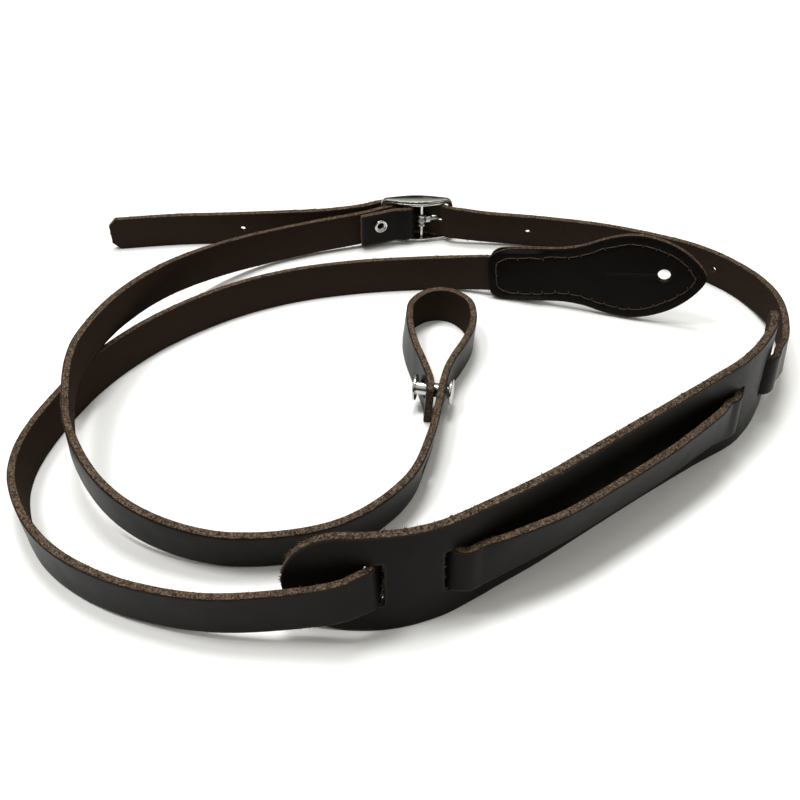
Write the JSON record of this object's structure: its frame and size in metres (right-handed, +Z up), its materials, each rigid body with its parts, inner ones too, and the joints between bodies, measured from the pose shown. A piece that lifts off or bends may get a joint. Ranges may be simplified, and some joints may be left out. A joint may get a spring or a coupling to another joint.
{
  "type": "mandolin strap",
  "caption": "Narrow leather instrument strap with a slotted shoulder pad, a small buckle, a sewn end tab with a peg hole and a studded button loop, laid in loose curves.",
  "frame": {"origin": "middle of the laid strap's bounding box, at table height", "axes": "+X to the right along the longest side, +Y away from the shoulder pad, +Z up from the table"},
  "size_m": [0.2627, 0.2123, 0.0332],
  "materials": {
    "strap_leather": "smooth dark brown grain side with a soft sheen, matt reddish brown flesh side, raw lighter cut edges",
    "pad_leather": "as the straps, with a raw fibrous cut edge",
    "tab_leather": "soft dark brown leather, sewn round its edge with brown thread",
    "buckle_chrome": "bright plated metal",
    "rivet_chrome": "bright plated metal"
  },
  "bodies": {
    "root": {"long_strap": "strap_leather", "short_strap": "strap_leather", "shoulder_pad": "pad_leather", "end_tab_front": "tab_leather", "end_tab_back": "tab_leather", "buckle_frame": "buckle_chrome", "buckle_prong": "buckle_chrome", "fold_eyelet": "rivet_chrome", "stud_post": "rivet_chrome", "stud_screw": "rivet_chrome"}
  },
  "joints": []
}
